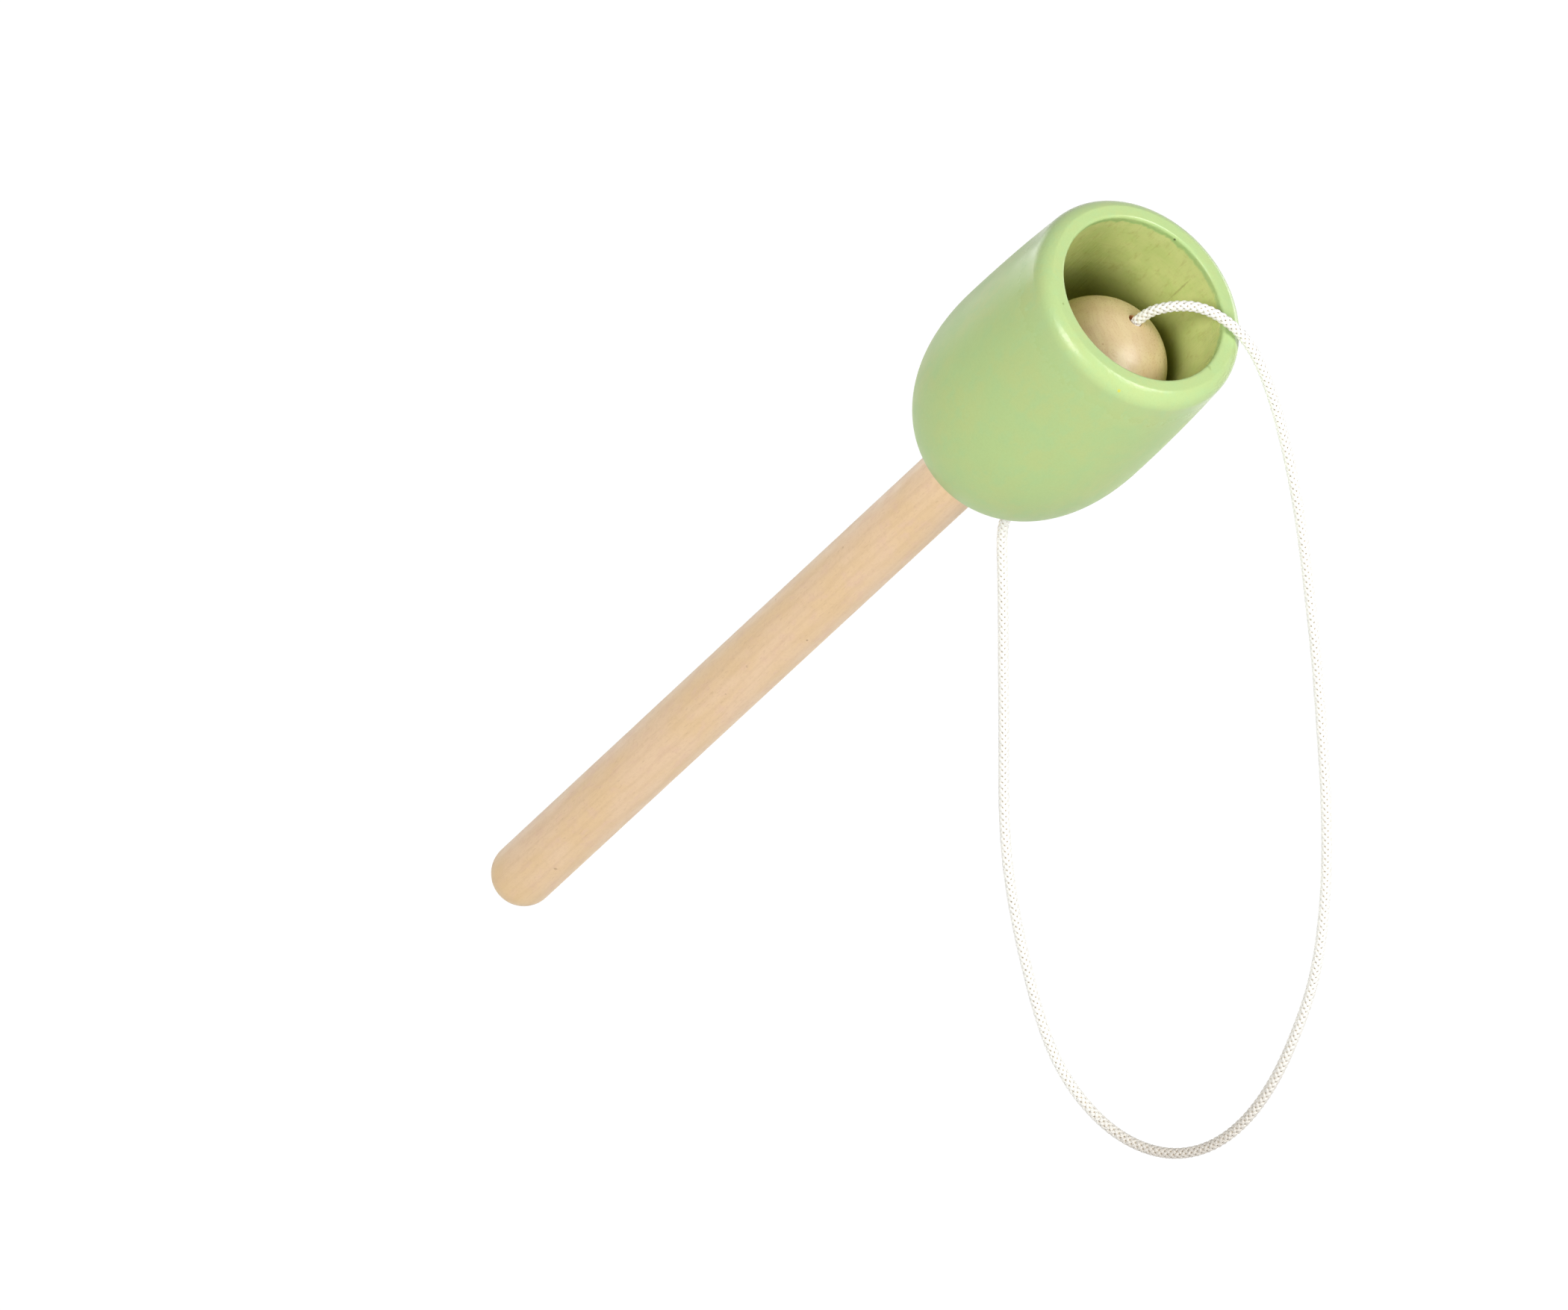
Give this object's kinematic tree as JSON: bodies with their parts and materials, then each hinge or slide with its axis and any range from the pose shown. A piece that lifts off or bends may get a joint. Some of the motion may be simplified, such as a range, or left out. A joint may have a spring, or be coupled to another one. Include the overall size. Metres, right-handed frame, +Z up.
{
  "type": "ball catch toy",
  "caption": "Wooden ball catch toy: a domed turned cup on a straight dowel handle, with a drilled ball tied by a braided cord.",
  "frame": {"origin": "middle of the hand's grip, on the handle's centre line", "axes": "+Z up as the toy is held in play; the centre line lies in the XZ plane and rises at half a right angle towards +X and +Z, with the cup at its upper end"},
  "size_m": [0.1868, 0.048, 0.1852],
  "materials": {
    "green_lacquer": "turned wood under satin pale green lacquer, thin green wash inside",
    "dowel_wood": "sanded pale dowel, satin clear finish",
    "ball_wood": "turned pale wood, satin clear finish",
    "white_cord": "braided white synthetic cord, slight sheen"
  },
  "bodies": {
    "cup_and_handle": {"cup": "green_lacquer", "handle": "dowel_wood", "cup_knot": "white_cord", "cord": "white_cord"},
    "cord_end": {"ball_knot": "white_cord"},
    "ball": {"ball": "ball_wood"}
  },
  "joints": [
    {"name": "ball_lift", "type": "slide", "parent": "cup_and_handle", "child": "cord_end", "axis": [0.7071, 0, 0.7071], "range_m": [0, 0.06], "deforming": ["cord"]},
    {"name": "ball_spin", "type": "hinge", "parent": "cord_end", "child": "ball", "pos_m": [0.1294, 0, 0.12488], "axis": [0.558, 0.2254, 0.7986], "continuous": true}
  ]
}
